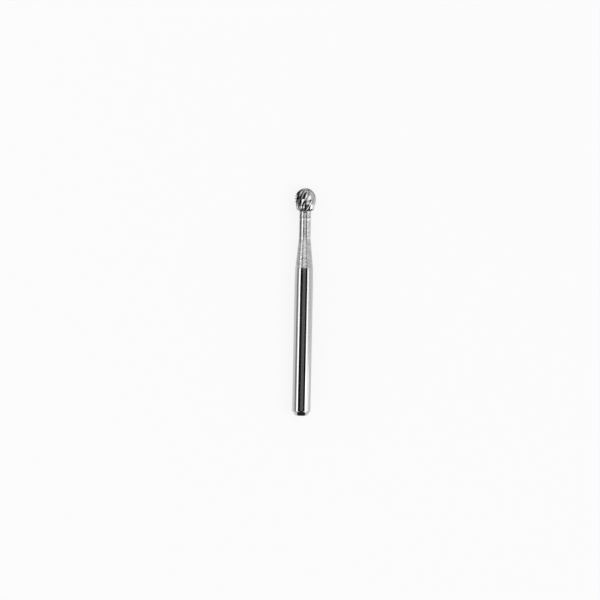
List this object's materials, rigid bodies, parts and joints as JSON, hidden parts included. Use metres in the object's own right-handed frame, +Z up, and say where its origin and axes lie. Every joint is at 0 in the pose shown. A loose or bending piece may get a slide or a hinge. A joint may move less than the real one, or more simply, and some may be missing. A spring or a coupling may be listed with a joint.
{
  "type": "carbide burr",
  "caption": "Round-head carbide burr: a spiral-fluted carbide ball brazed to the slim neck of a tapered, polished steel shank.",
  "frame": {"origin": "on the surface the burr lies on, under its axis and halfway along its length", "axes": "+Y along the burr towards the tip of its head, +Z up from the surface it lies on"},
  "size_m": [0.0018, 0.0196, 0.0017],
  "materials": {
    "carbide": "ground sintered tungsten carbide, bright on the blade faces",
    "silver_solder": "dull silver solder",
    "shank_steel": "mirror-polished stainless steel on the shank, finely ground round the taper and neck"
  },
  "bodies": {
    "root": {"carbide_head": "carbide", "braze_joint": "silver_solder", "steel_shank": "shank_steel"}
  },
  "joints": []
}
